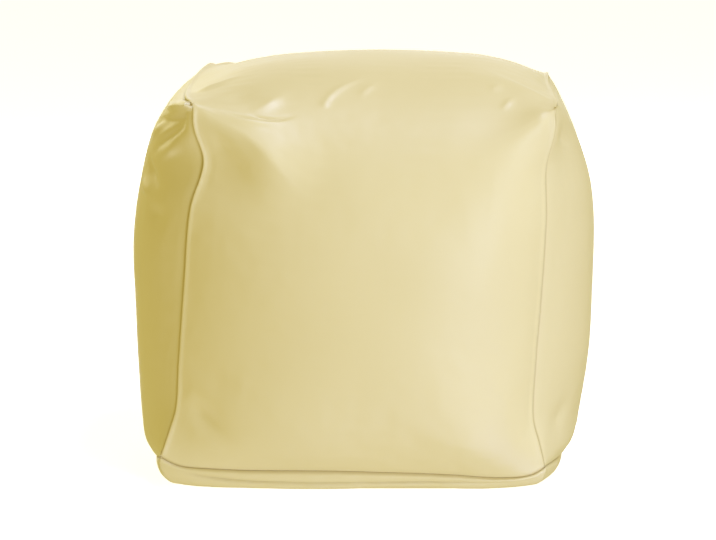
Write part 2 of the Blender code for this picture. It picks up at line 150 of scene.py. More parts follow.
# Shape of the filled cover, in points: arrays whose last axis is x, y, z.
# This one reads a smooth curve through a table's column.
def tableCurve(table, key, column, share):
    marks = np.array([row[key] for row in table])
    values = np.array([row[column] for row in table])
    slopes = np.empty(len(table))
    slopes[1:-1] = (values[2:] - values[:-2]) / (marks[2:] - marks[:-2])
    slopes[[0, -1]] = np.diff(values)[[0, -1]] / np.diff(marks)[[0, -1]]
    here = np.clip(np.searchsorted(marks, share, side="right") - 1, 0, len(table) - 2)
    span = marks[here + 1] - marks[here]
    s = np.clip((share - marks[here]) / span, 0, 1)
    ends = (2 * s**3 - 3 * s**2 + 1) * values[here] + (3 * s**2 - 2 * s**3) * values[here + 1]
    return ends + span * ((s**3 - 2 * s**2 + s) * slopes[here] + (s**3 - s**2) * slopes[here + 1])


def mix(a, b, share):
    return a + (b - a) * np.asarray(share)[..., None]


def uprightSeam(table, row, side, up):
    foot, head = baseSeams[row][side + "Z"], topSeams[row][side + "Z"]
    x, y = (tableCurve(table, "up", column, up) for column in (side + "X", "y"))
    return np.stack([x, y, foot + (head - foot) * up], -1)


def levelSeam(table, row, side, back):
    frontY, backY = frontSeams[row]["y"], backSeams[row]["y"]
    x, z = (tableCurve(table, "back", side + column, back) for column in "XZ")
    return np.stack([x, frontY + (backY - frontY) * back, z], -1)


# Along runs from 0 at the front foot to 3 at the back foot
def stripSeam(side, along):
    along = np.clip(along, 0, 3)
    front = uprightSeam(frontSeams, 0, side, np.minimum(along, 1))
    top = levelSeam(topSeams, -1, side, np.clip(along - 1, 0, 1))
    back = uprightSeam(backSeams, -1, side, 3 - np.maximum(along, 2))
    along = along[..., None]
    return np.where(along <= 1, front, np.where(along < 2, top, back))


# The seam with its corners rounded off, as it is felt further into the strip
def softSeam(side, along, softness):
    weights = (1, 2, 3, 4, 3, 2, 1)
    reach = len(weights) // 2
    steps = [(index - reach) / (reach + 1) for index in range(len(weights))]
    soft = sum(w * stripSeam(side, along + softness * s) for w, s in zip(weights, steps)) / sum(weights)
    free = np.minimum(1, np.minimum(along, 3 - along) / np.maximum(softness, 1e-6))[..., None]
    return stripSeam(side, along) * (1 - free) + soft * free


# y and z of the strip's middle line: superellipses that meet at the waist
def middleProfile(along):
    footAngle = math.atan2(pouf["footHeight"] - pouf["waistHeight"], pouf["footY"])
    shoulder = pouf["shoulderAngle"]
    fromFoot = np.minimum(along, 3 - along)
    rising = footAngle + (shoulder - footAngle) * fromFoot
    angle = np.where(fromFoot <= 1, rising, shoulder + (math.pi / 2 - shoulder) * 2 * (fromFoot - 1))
    height = np.where(angle < 0, pouf["waistHeight"], pouf["crownHeight"] - pouf["waistHeight"])
    power = np.where(angle < 0, pouf["lowerFullness"], pouf["upperFullness"])
    flat, rise = np.cos(angle), np.sin(angle)
    reach = ((flat / pouf["reachY"]) ** power + (abs(rise) / height) ** power) ** (-1 / power)
    return np.where(along < 1.5, -1, 1) * reach * flat, pouf["waistHeight"] + reach * rise


def stripPoint(across, along):
    fromMiddle = abs(2 * across - 1)
    softness = pouf["shoulderSoftness"] * (1 - fromMiddle)
    leftSeam, rightSeam = (softSeam(side, along, softness) for side in ("left", "right"))
    between = (leftSeam + rightSeam) / 2
    y, z = middleProfile(along)
    onTop = np.clip((np.minimum(along, 3 - along) - pouf["topStarts"]) / pouf["topBlend"], 0, 1)
    right = pouf["rightFullness"] + (pouf["rightTopFullness"] - pouf["rightFullness"]) * onTop
    left = pouf["leftFullness"] + (pouf["leftTopFullness"] - pouf["leftFullness"]) * onTop
    slack = np.exp(-((along - pouf["foldAlong"]) / pouf["foldReach"]) ** 2)
    left += (pouf["leftFoldFullness"] - pouf["leftFullness"]) * slack
    full = 1 - fromMiddle ** np.where(across < 0.5, left, right)
    point = mix(leftSeam, rightSeam, across)
    point[..., 1] += (y - between[..., 1]) * full
    point[..., 2] += (z - between[..., 2]) * full
    for wander, fromFoot in (("front", along), ("back", 3 - along)):
        near = np.maximum(0, 1 - fromFoot * pouf["cutEdge"] / pouf["footReach"])
        point[..., 2] += tableCurve(footWander, "across", wander, across) * near**2
    return point


# The ruled surface that joins four border lines
def betweenSeams(front, back, low, high, u, v):
    zero, one = np.zeros_like(u), np.ones_like(u)
    ruled = mix(front(v), back(v), u) + mix(low(u), high(u), v)
    return ruled - mix(mix(low(zero), low(one), u), mix(high(zero), high(one), u), v)


# A seam's line as it is felt away from it: its kinks fade, its long bow stays
def calmed(seam, away):
    felt = np.maximum(0, 1 - away * pouf["cutEdge"] / pouf["kinkReach"]) ** 2
    foot, middle, head = (seam(np.full_like(away, share)) for share in (0, 0.5, 1))

    def line(s):
        w = s[..., None]
        bow = foot * (1 - w) * (1 - 2 * w) + middle * 4 * w * (1 - w) + head * w * (2 * w - 1)
        return mix(bow, seam(s), felt)

    return line


def sidePoint(side, back, up):
    borders = (
        calmed(lambda s: stripSeam(side, s), back),
        calmed(lambda s: stripSeam(side, 3 - s), 1 - back),
        calmed(lambda s: levelSeam(baseSeams, 0, side, s), up),
        calmed(lambda s: stripSeam(side, 1 + s), 1 - up),
    )
    point = betweenSeams(*borders, back, up)
    full = 1 - abs(2 * back - 1) ** pouf["sideFullness"]
    point[..., 0] += tableCurve(sideSwell, "up", side, up) * full
    return point


def basePoint(across, back):
    u, v = 2 * across - 1, 2 * back - 1
    power = pouf["squareness"]
    out = np.maximum(np.maximum(abs(u), abs(v)), 1e-6)
    corner = np.maximum(1, ((abs(u) / out) ** power + (abs(v) / out) ** power) ** (1 / power))
    flatCloth, flatReach = pouf["flatCloth"] / corner, pouf["flatReach"] / corner
    turn = np.maximum(0, (out - flatCloth) / (1 - flatCloth)) * math.pi / 2
    reach = np.where(turn > 0, flatReach + (1 - flatReach) * np.sin(turn), flatReach * out / flatCloth)
    plan = betweenSeams(
        lambda s: levelSeam(baseSeams, 0, "left", s),
        lambda s: levelSeam(baseSeams, 0, "right", s),
        lambda s: stripPoint(s, np.zeros_like(s)),
        lambda s: stripPoint(s, np.full_like(s, 3)),
        (1 + u * reach / out) / 2,
        (1 + v * reach / out) / 2,
    )
    plan[..., 2] *= 1 - np.cos(turn)
    return plan


# The cover's lattice: each panel is a chart of welded vertex numbers and of shares of the cut edge
panelNames = ("base", "left", "right", "strip")
turnedPanels = ("base", "left")  # charts whose rows run clockwise seen from outside


def coverLattice(lines):
    last = len(lines) - 1
    p, q = np.meshgrid(range(last + 1), range(last + 1), indexing="ij")
    a, b = np.meshgrid(range(last + 1), range(3 * last + 1), indexing="ij")
    places = {
        "base": (p, q, 0 * p),
        "left": (0 * p, p, q),
        "right": (0 * p + last, p, q),
        "strip": (a, np.clip(b - last, 0, last), np.minimum(np.minimum(b, last), 3 * last - b)),
    }
    keys = {name: (i * (last + 1) + j) * (last + 1) + k for name, (i, j, k) in places.items()}
    known = np.unique(np.concatenate([key.ravel() for key in keys.values()]))
    faces = np.concatenate([lines, 1 + lines[1:], 2 + lines[1:]])
    lattice = {"count": len(known), "last": last, "vertex": {}, "share": {}}
    for name, key in keys.items():
        lattice["vertex"][name] = np.searchsorted(known, key)
        lattice["share"][name] = np.meshgrid(lines, faces if name == "strip" else lines, indexing="ij")
    return lattice


# Values of the welded points, gathered from a function that gives each panel's chart of them
def welded(lattice, chartOf):
    charts = {name: chartOf(name) for name in panelNames}
    values = np.zeros((lattice["count"],) + charts["strip"].shape[2:])
    for name, chart in charts.items():
        values[lattice["vertex"][name]] = chart
    return values


def drawnCover(lattice):
    draw = {
        "strip": stripPoint,
        "left": lambda back, up: sidePoint("left", back, up),
        "right": lambda back, up: sidePoint("right", back, up),
        "base": basePoint,
    }
    return welded(lattice, lambda name: draw[name](*lattice["share"][name]))


def chartQuads(chart, turned=False):
    quads = np.stack([chart[:-1, :-1], chart[1:, :-1], chart[1:, 1:], chart[:-1, 1:]], -1).reshape(-1, 4)
    return quads[:, ::-1] if turned else quads


def panelQuads(lattice, name):
    return chartQuads(lattice["vertex"][name], name in turnedPanels)


# Unit normals of the welded points, and how much deeper a layer lies at a sharp edge
def coverNormals(lattice, points):
    quads = np.concatenate([panelQuads(lattice, name) for name in panelNames])
    corners = points[quads]
    flat = np.cross(corners[:, 2] - corners[:, 0], corners[:, 3] - corners[:, 1])
    normals = np.zeros_like(points)
    for corner in range(4):
        np.add.at(normals, quads[:, corner], flat)
    normals /= np.linalg.norm(normals, axis=1)[:, None]
    flat /= np.linalg.norm(flat, axis=1)[:, None]
    lean, seen = np.zeros(len(points)), np.zeros(len(points))
    for corner in range(4):
        np.add.at(lean, quads[:, corner], (flat * normals[quads[:, corner]]).sum(1))
        np.add.at(seen, quads[:, corner], 1)
    return normals, np.minimum(seen / np.maximum(lean, pouf["leastLean"]), pouf["cornerLimit"])


# Distance of each point of a panel from its nearest seam, on the flat cloth
def fromSeam(lattice, name):
    across, along = lattice["share"][name]
    end = 3 if name == "strip" else 1
    return np.minimum(np.minimum(across, 1 - across), np.minimum(along, end - along)) * pouf["cutEdge"]


# Cloth simulation: the cover is given a little more cloth than its drawn shape where it creases,
# held at its seams and blown out by the filling
clothTest = {
    "cells": 44,  # along a cut edge
    "frames": 30,
    "quality": 6,
    "mass": 0.01,
    "pressure": 5.5,
    "stiffness": 15,
    "shear": 5,
    "bending": 0.3,
    "damping": 15,
    "airDamping": 3,
    "restsBelow": 0.0005,  # cloth drawn under this height stays on the floor
    "hold": 0.03,  # how firmly the filling holds the cloth to its drawn shape
    "spareCloth": 0.08,
    "spareFrom": 0.22,  # height at which spare cloth begins
    "spareRise": 0.12,
    "leastSpare": 0.1,
    "cap": 0.009,  # most that a point may move
}


def newObject(name, points, faces, material=None):
    mesh = bpy.data.meshes.new(name)
    mesh.from_pydata(points.tolist(), [], faces)
    thing = bpy.data.objects.new(name, mesh)
    bpy.context.scene.collection.objects.link(thing)
    if material:
        mesh.materials.append(material)
        mesh.shade_smooth()
        mesh.set_sharp_from_angle(angle=pouf["sharpAngle"])
    return thing


def weightGroup(thing, name, weights):
    group = thing.vertex_groups.new(name=name)
    for number, weight in enumerate(weights.tolist()):
        group.add([number], weight, "REPLACE")
    return name


# How far the simulation moves each point
def clothMoves(lattice, drawn):
    quads = np.concatenate([panelQuads(lattice, name) for name in panelNames])
    away = welded(lattice, lambda name: fromSeam(lattice, name))
    fixed = (away < 1e-6) | (drawn[:, 2] < clothTest["restsBelow"])
    hold = np.where(fixed, 1.0, clothTest["hold"])
    above = (drawn[:, 2] - clothTest["spareFrom"]) / clothTest["spareRise"]
    spare = np.clip(above, clothTest["leastSpare"], 1)
    cover = newObject("clothTest", drawn, quads.tolist())
    cloth = cover.modifiers.new("cloth", "CLOTH")
    settings = cloth.settings
    settings.vertex_group_mass = weightGroup(cover, "hold", hold)
    settings.vertex_group_shrink = weightGroup(cover, "spare", spare)
    settings.shrink_min = 0.0
    settings.shrink_max = -clothTest["spareCloth"]
    settings.quality = clothTest["quality"]
    settings.mass = clothTest["mass"]
    settings.air_damping = clothTest["airDamping"]
    settings.tension_stiffness = settings.compression_stiffness = clothTest["stiffness"]
    settings.shear_stiffness = clothTest["shear"]
    settings.bending_stiffness = clothTest["bending"]
    settings.tension_damping = settings.compression_damping = clothTest["damping"]
    settings.shear_damping = clothTest["damping"]
    settings.use_pressure = True
    settings.uniform_pressure_force = clothTest["pressure"]
    settings.effector_weights.gravity = 0
    cloth.collision_settings.use_collision = False
    cloth.point_cache.frame_end = clothTest["frames"]
    for frameNumber in range(1, clothTest["frames"] + 1):
        bpy.context.scene.frame_set(frameNumber)
    settled = cover.evaluated_get(bpy.context.evaluated_depsgraph_get()).data
    points = np.empty(len(drawn) * 3, np.float32)
    settled.vertices.foreach_get("co", points)
    bpy.context.scene.frame_set(1)
    bpy.data.objects.remove(cover)
    move = points.reshape(-1, 3).astype(float) - drawn
    around = np.zeros_like(move)
    for one, other in ((0, 1), (1, 2), (2, 3), (3, 0)):
        np.add.at(around, quads[:, one], move[quads[:, other]])
        np.add.at(around, quads[:, other], move[quads[:, one]])
    met = np.bincount(quads.ravel(), minlength=len(move))[:, None] * 2
    move = np.where(fixed[:, None], 0, (move + around / met) / 2)  # halfway to the neighbours' mean
    size = np.linalg.norm(move, axis=1)[:, None]
    print("cloth moved by", np.round(np.percentile(size, [50, 90, 99, 100]) * 1000, 1), "mm")
    return move * np.minimum(1, clothTest["cap"] / np.maximum(size, 1e-9))


# Weights that carry values from even cells to the fine lines, on smooth curves
def cubicWeights(shares, cells):
    weights = np.zeros((len(shares), cells + 1))
    at = np.clip(shares / shares[-1] * cells, 0, cells - 1e-9)
    here = at.astype(int)
    s = at - here
    parts = (-s + 2 * s**2 - s**3, 2 - 5 * s**2 + 3 * s**3, s + 4 * s**2 - 3 * s**3, s**3 - s**2)
    for step, part in enumerate(parts):
        np.add.at(weights, (np.arange(len(shares)), np.clip(here + step - 1, 0, cells)), part / 2)
    return weights


# Shares at which the fine mesh's lines lie across a panel
def fineLines():
    lines, step = [0.0], meshLines["first"]
    while lines[-1] + step < pouf["cutEdge"] / 2 - meshLines["widest"] / 3:
        lines.append(lines[-1] + step)
        step = min(step * meshLines["growth"], meshLines["widest"])
    half = np.array(lines) / pouf["cutEdge"]
    return np.concatenate([half, [0.5], 1 - half[::-1]])


# Seams: the strip's edge rolls up beside the stitching and the panel's edge lies low.
# Each row is a distance from the seam and the height there, in mm, for a full roll.
seams = {
    "roll": [dict(away=0.0, wrap=-1.7, foot=-1.2, panel=-1.7, base=-1.2),
             dict(away=0.7, wrap=-0.6, foot=-0.7, panel=-1.5, base=-0.6),
             dict(away=1.5, wrap=0.8, foot=-0.4, panel=-1.2, base=0.2),
             dict(away=2.6, wrap=1.4, foot=-0.2, panel=-0.8, base=0.8),
             dict(away=4.0, wrap=0.9, foot=-0.1, panel=-0.5, base=1.0),
             dict(away=6.0, wrap=0.2, foot=0.0, panel=-0.2, base=0.7),
             dict(away=9.0, wrap=0.0, foot=0.0, panel=0.0, base=0.0)],
    "pucker": 0.0004,
    "puckerReach": 0.010,
    "puckerLength": 0.015,
    "puckerEnds": 4,  # in puckerReaches from the seam
    "line": 0.0024,  # how wide the painted shade line of a seam is on each side
    # how much painted shade darkens each seam's line; strongest on the right seam
    "seamLineShade": {"left": 0.72, "right": 1.0, "base": 0.55},
    "tipDepth": -0.0010,
    "wayReach": 0.005,  # a point this near a seam moves along the seam's way out
}
# The upper corners' sewn tips: how far each is drawn in, and how near it the roll and the painted shade
# line of the seams die out
tips = [
    dict(tuck=0.003, tuckReach=0.012, rollFade=0.013, lineFade=0.030),  # front left
    dict(tuck=0.003, tuckReach=0.012, rollFade=0.013, lineFade=0.008),  # front right
    dict(tuck=0.006, tuckReach=0.012, rollFade=0.013, lineFade=0.030),  # back left
    dict(tuck=0.010, tuckReach=0.012, rollFade=0.013, lineFade=0.013),  # back right
]
# Where the tips are on each panel, in shares of the cut edge
tipPlaces = {
    "strip": [(0, 1), (1, 1), (0, 2), (1, 2)],
    "left": [(0, 1), None, (1, 1), None],
    "right": [None, (0, 1), None, (1, 1)],
    "base": [None] * 4,
}


# How near each point of a panel is to each tip, from 0 to 1
def nearTips(lattice, name, reach, power=2):
    across, along = lattice["share"][name]
    near = np.zeros((len(tips),) + across.shape)
    for number, place in enumerate(tipPlaces[name]):
        if place:
            away = np.hypot(across - place[0], along - place[1]) * pouf["cutEdge"]
            near[number] = np.exp(-(away / tips[number][reach]) ** power)
    return near


def rollHeight(column, away):
    marks, heights = ([row[key] for row in seams["roll"]] for key in ("away", column))
    return np.interp(away * 1000, marks, heights) / 1000


# How much a point belongs to its nearest side seam rather than to its nearest end seam, 0 to 1
def sideShare(lattice, name):
    across, along = lattice["share"][name]
    last = 3 if name == "strip" else 1
    side, end = np.minimum(across, 1 - across), np.minimum(along, last - along)
    share = np.clip(end / np.maximum(side + end, 1e-9), 0, 1)
    return share * share * (3 - 2 * share)


# The way out at each point of a panel: its own normal, turned to the seam's beside a seam
def seamWays(lattice, name, normals):
    own = normals[lattice["vertex"][name]]
    across, along = (share[..., None] for share in lattice["share"][name])
    side = np.where(across < 0.5, own[:1], own[-1:])
    end = np.where(along < along.max() / 2, own[:, :1], own[:, -1:])
    share = sideShare(lattice, name)[..., None]
    near = np.clip(1 - fromSeam(lattice, name) / seams["wayReach"], 0, 1)[..., None]
    way = own + (side * share + end * (1 - share) - own) * near * near * (3 - 2 * near)
    return way / np.linalg.norm(way, axis=-1, keepdims=True)


# How strong the painted shade is in the line of the nearest seam
def seamLineShade(lattice, name):
    across, along = lattice["share"][name]
    dark = seams["seamLineShade"]
    if name == "base":
        return np.full(across.shape, dark["base"])
    side = np.where(across < 0.5, dark["left"], dark["right"]) if name == "strip" else dark[name]
    end = dark["base"] if name == "strip" else np.where(along < 0.5, dark["base"], side)
    return end + (side - end) * sideShare(lattice, name)


seamRolls = {  # the columns of a panel's side and end seams
    "strip": ("wrap", "foot"),
    "left": ("panel", "panel"),
    "right": ("panel", "panel"),
    "base": ("panel", "base"),
}


def seamHeights(lattice, name, points):
    away = fromSeam(lattice, name)
    share = sideShare(lattice, name)
    sideRoll, endRoll = seamRolls[name]
    roll = rollHeight(endRoll, away) * (1 - share) + rollHeight(sideRoll, away) * share
    roll += (seams["tipDepth"] - roll) * nearTips(lattice, name, "rollFade").max(0)
    near = away < seams["puckerReach"] * seams["puckerEnds"]
    pucker = np.zeros_like(away)
    places = points[lattice["vertex"][name]][near] / seams["puckerLength"]
    reach = away[near] / seams["puckerReach"]
    waves = np.array([noise.noise(Vector(place)) for place in places])
    pucker[near] = waves * seams["pucker"] * reach * np.exp(1 - reach)
    return roll + pucker


# The tips are drawn in towards the middle of the pouf
def tipTuck(lattice, name, points):
    middle = np.array([0, 0, pouf["crownHeight"] / 2])
    tuck = np.zeros(lattice["vertex"][name].shape + (3,))
    for tip, place, near in zip(tips, tipPlaces["strip"], nearTips(lattice, name, "tuckReach", power=1)):
        corner = lattice["vertex"]["strip"][place[0] * lattice["last"], place[1] * lattice["last"]]
        way = middle - points[corner]
        tuck += near[..., None] * way / np.linalg.norm(way) * tip["tuck"]
    return tuck


# Creases, in metres on the flat cloth. The strip is measured from its left end at the front foot:
# across, then along the front, the top and the back. A side is measured from its lower front
# corner, back and then up, and the base from its left front corner, across and then back.
# wide: to the left and the right of the way it runs; rise: negative for a hollow; peak: where
# along it is highest; flat: share of its length at full height; power: of its fall to the sides;
# seam: it dies out this near a seam; dark: how much painted shade darkens its line.
creases = {
    "strip": [
        # the big fold from the left corner across the front
        dict(line=[(0.006, 0.378), (0.060, 0.348), (0.124, 0.290)],
             wide=(0.090, 0.066), rise=0.0100, peak=0.62, power=1.3),
        dict(line=[(0.004, 0.346), (0.036, 0.318), (0.070, 0.262)],
             wide=(0.034, 0.060), rise=-0.0040, peak=0.5, seam=0.010),
        # wrinkles right of the left corner
        dict(line=[(0.020, 0.388), (0.055, 0.371), (0.112, 0.383)],
             wide=(0.007, 0.009), rise=0.0022, peak=0.6),
        dict(line=[(0.058, 0.381), (0.086, 0.378), (0.116, 0.390)],
             wide=(0.004, 0.004), rise=-0.0022, peak=0.4),
        dict(line=[(0.060, 0.385), (0.084, 0.398), (0.104, 0.424)],
             wide=(0.018, 0.011), rise=0.0032, peak=0.55, power=1.4),
        dict(line=[(0.036, 0.395), (0.078, 0.428)], wide=(0.016, 0.016), rise=-0.0022, peak=0.5),
        dict(line=[(0.142, 0.396), (0.156, 0.424), (0.206, 0.466)],
             wide=(0.009, 0.006), rise=0.0019, peak=0.25, flat=0.35, power=1.4),
        dict(line=[(0.176, 0.412), (0.200, 0.446)], wide=(0.010, 0.006), rise=0.0014, peak=0.4, power=1.4),
        # beside the left top seam
        dict(line=[(0.012, 0.440), (0.064, 0.492)], wide=(0.016, 0.010), rise=0.0030, peak=0.3),
        # the right corner's fold down the front, and the one over the top
        dict(line=[(0.378, 0.379), (0.352, 0.366), (0.286, 0.332)],
             wide=(0.022, 0.030), rise=0.0034, peak=0.4),
        dict(line=[(0.372, 0.412), (0.345, 0.438), (0.292, 0.492)],
             wide=(0.030, 0.012), rise=0.0034, peak=0.4),
        dict(line=[(0.321, 0.392), (0.336, 0.418)], wide=(0.006, 0.007), rise=0.0017, peak=0.5, power=1.5),
        dict(line=[(0.311, 0.420), (0.324, 0.446)], wide=(0.008, 0.008), rise=0.0013, peak=0.5),
        # where the top meets the left corner at the back
        dict(line=[(0.010, 0.750), (0.064, 0.718)], wide=(0.030, 0.030), rise=0.0040, peak=0.3, seam=0.010),
        # low on the front
        dict(line=[(0.008, 0.068), (0.036, 0.054), (0.076, 0.036)],
             wide=(0.022, 0.016), rise=-0.0048, peak=0.42, seam=0.010),
        dict(line=[(0.004, 0.110), (0.070, 0.084)], wide=(0.026, 0.026), rise=-0.0018, peak=0.6),
        # back
        dict(line=[(0.361, 0.779), (0.330, 0.810), (0.270, 0.846)],
             wide=(0.024, 0.020), rise=0.0040, peak=0.4),
        dict(line=[(0.372, 0.815), (0.300, 0.850)], wide=(0.030, 0.030), rise=-0.0034, peak=0.3),
        dict(line=[(0.010, 0.775), (0.060, 0.812)], wide=(0.020, 0.018), rise=0.0036, peak=0.4),
        dict(line=[(0.060, 0.800), (0.106, 0.778)], wide=(0.007, 0.007), rise=0.0024, peak=0.5),
        dict(line=[(0.012, 1.040), (0.060, 1.100)], wide=(0.024, 0.024), rise=-0.0030, peak=0.5),
    ],
    "left": [
        # the sharp fold that stands off the front corner, and the hollow under it
        dict(line=[(0.002, 0.3765), (0.034, 0.3705), (0.170, 0.362)],
             wide=(0.009, 0.0032), rise=0.0078, peak=0.22, seam=0.003),
        dict(line=[(0.006, 0.364), (0.056, 0.357), (0.170, 0.347)],
             wide=(0.006, 0.018), rise=-0.0068, peak=0.25, seam=0.010),
        dict(line=[(0.008, 0.356), (0.050, 0.338), (0.094, 0.318)],
             wide=(0.009, 0.009), rise=-0.0046, peak=0.3),
        dict(line=[(0.060, 0.354), (0.116, 0.336)], wide=(0.010, 0.010), rise=0.0034, peak=0.5),
        dict(line=[(0.016, 0.336), (0.070, 0.312)], wide=(0.010, 0.010), rise=0.0026, peak=0.4),
        dict(line=[(0.110, 0.318), (0.074, 0.298), (0.034, 0.284)],
             wide=(0.010, 0.010), rise=-0.0044, peak=0.4),
        dict(line=[(0.120, 0.292), (0.060, 0.274)], wide=(0.009, 0.010), rise=0.0032, peak=0.5),
        dict(line=[(0.080, 0.262), (0.018, 0.250)], wide=(0.016, 0.016), rise=-0.0034, peak=0.5),
        dict(line=[(0.360, 0.340), (0.280, 0.300)], wide=(0.020, 0.020), rise=-0.0034, peak=0.3),
        dict(line=[(0.368, 0.030), (0.310, 0.075)], wide=(0.020, 0.020), rise=-0.0028, peak=0.4),
    ],
    "right": [
        dict(line=[(0.010, 0.352), (0.060, 0.325)], wide=(0.012, 0.012), rise=-0.0024, peak=0.3),
        dict(line=[(0.370, 0.330), (0.270, 0.300)], wide=(0.024, 0.024), rise=-0.0040, peak=0.2),
        dict(line=[(0.350, 0.350), (0.290, 0.336)], wide=(0.010, 0.010), rise=0.0024, peak=0.4),
        dict(line=[(0.020, 0.030), (0.070, 0.070)], wide=(0.018, 0.018), rise=-0.0024, peak=0.4),
    ],
    "base": [
        # where the base turns under in front, with painted shade along the crease's line
        dict(line=[(0.020, 0.003), (0.150, 0.0140), (0.362, 0.0055)],
             wide=(0.003, 0.003), rise=-0.0018, peak=0.5, seam=0.002, flat=0.5, dark=0.45),
    ],
}
creaseUsual = {"seam": 0.016, "power": 2, "flat": 0, "dark": 0}  # where a row doesn't say
creaseFall = 2.5  # how fast a crease falls away within its width
creaseSteps = 24  # straight pieces in a crease's path


# Where a crease runs: straight, or in a bow through its middle point
def creasePath(line):
    line, t = np.array(line), np.linspace(0, 1, creaseSteps + 1)[:, None]
    if len(line) == 2:
        return line[0] + (line[1] - line[0]) * t
    bend = 2 * line[1] - (line[0] + line[2]) / 2
    return (1 - t) ** 2 * line[0] + 2 * t * (1 - t) * bend + t**2 * line[2]


# How far each place is from a path, how far along it and on which side
def besidePath(path, here):
    nearest = np.full(here.shape[:2], 1e9)
    share, side = np.zeros(here.shape[:2]), np.zeros(here.shape[:2])
    for index in range(len(path) - 1):
        run = path[index + 1] - path[index]
        offset = here - path[index]
        t = np.clip(offset @ run / (run @ run), 0, 1)
        apart = offset - t[..., None] * run
        distance = np.hypot(apart[..., 0], apart[..., 1])
        closer = distance < nearest
        nearest = np.where(closer, distance, nearest)
        share = np.where(closer, (index + t) / (len(path) - 1), share)
        side = np.where(closer, run[0] * offset[..., 1] - run[1] * offset[..., 0], side)
    return nearest, share, side


def creaseChart(lattice, name):
    here = np.stack(lattice["share"][name], -1) * pouf["cutEdge"]
    away = fromSeam(lattice, name)
    heights, dark = np.zeros_like(away), np.zeros_like(away)
    for row in creases[name]:
        crease = {**creaseUsual, **row}
        nearest, share, side = besidePath(creasePath(crease["line"]), here)
        wide = np.where(side > 0, crease["wide"][0], crease["wide"][1])
        peak = crease["peak"]
        strength = np.where(share < peak, share / peak, (1 - share) / (1 - peak))
        strength = np.minimum(1, strength / (1 - crease["flat"]))
        strength = strength * strength * (3 - 2 * strength)
        strength = strength * np.minimum(1, away / crease["seam"])
        profile = strength * np.exp(-creaseFall * (nearest / wide) ** crease["power"])
        heights += crease["rise"] * profile
        # painted shade along the crease's line
        dark = np.maximum(dark, crease["dark"] * profile)
    return np.stack([heights, dark], -1)


# The filling's soft lumps, which die out near a seam
unevenness = {"height": 0.0020, "length": 0.095, "seam": 0.03}
flatBelow = 0.0002  # cloth under this height lies on the floor and stays flat


# The simulation's moves, carried from its coarse cells to the fine mesh
def simulatedMoves(lattice):
    cells = clothTest["cells"]
    coarse = coverLattice(np.linspace(0, 1, cells + 1))
    moves = clothMoves(coarse, drawnCover(coarse))

    def chartOf(name):
        rows, columns = lattice["share"][name]
        sideways = cubicWeights(rows[:, 0], cells)
        along = cubicWeights(columns[0], 3 * cells if name == "strip" else cells)
        known = moves[coarse["vertex"][name]]
        return np.einsum("ia,jb,abc->ijc", sideways, along, known, optimize=True)

    return welded(lattice, chartOf)


# The finished cover: its lattice and points, the way to its deeper layers and the strength of its painted
# shade lines
def fineCover():
    lattice = coverLattice(fineLines())
    points = drawnCover(lattice)
    points = points + simulatedMoves(lattice)
    points = points + welded(lattice, lambda name: tipTuck(lattice, name, points))
    normals, deeper = coverNormals(lattice, points)
    away = welded(lattice, lambda name: fromSeam(lattice, name))
    creased, dark = welded(lattice, lambda name: creaseChart(lattice, name)).T
    heights = welded(lattice, lambda name: seamHeights(lattice, name, points)) + creased
    lumps = np.array([noise.noise(Vector(point)) for point in points / unevenness["length"]])
    heights += lumps * unevenness["height"] * np.minimum(1, away / unevenness["seam"])
    heights[points[:, 2] < flatBelow] = 0
    ways = welded(lattice, lambda name: seamWays(lattice, name, normals))
    points = points + ways * heights[:, None]
    points[:, 2] = np.maximum(points[:, 2], 0)
    normals, deeper = coverNormals(lattice, points)
    # Painted shade along the seams' lines, faded near the tips, then joined with the creases' painted shade
    shown = 1 - welded(lattice, lambda name: nearTips(lattice, name, "lineFade").max(0))
    lines = welded(lattice, lambda name: seamLineShade(lattice, name))
    lines *= np.clip(1 - away / seams["line"], 0, 1) * shown
    return lattice, points, -normals * deeper[:, None], np.maximum(dark, lines)


# Faces between an outer and an inner loop of points that run the same way round
def loopFaces(outer, inner, outerShare, innerShare):
    faces, i, j = [], 0, 0
    while i < len(outer) or j < len(inner):
        nextOuter = outerShare[i] if i < len(outer) else 2
        nextInner = innerShare[j] if j < len(inner) else 2
        a, b = outer[i % len(outer)], inner[j % len(inner)]
        if nextOuter <= nextInner:
            faces.append([a, outer[(i + 1) % len(outer)], b])
            i += 1
        else:
            faces.append([a, inner[(j + 1) % len(inner)], b])
            j += 1
    return faces


def chartLoop(chart):
    return np.concatenate([chart[:-1, 0], chart[-1, :-1], chart[:0:-1, -1], chart[0, :0:-1]])


# How far round a square loop each point lies, where the lines are at these shares
def shareLoop(lines):
    lines = (lines - lines[0]) / (lines[-1] - lines[0])
    back = 1 - lines[-2::-1]
    return np.concatenate([lines[1:], 1 + lines[1:], 2 + back, 3 + back]) / 4


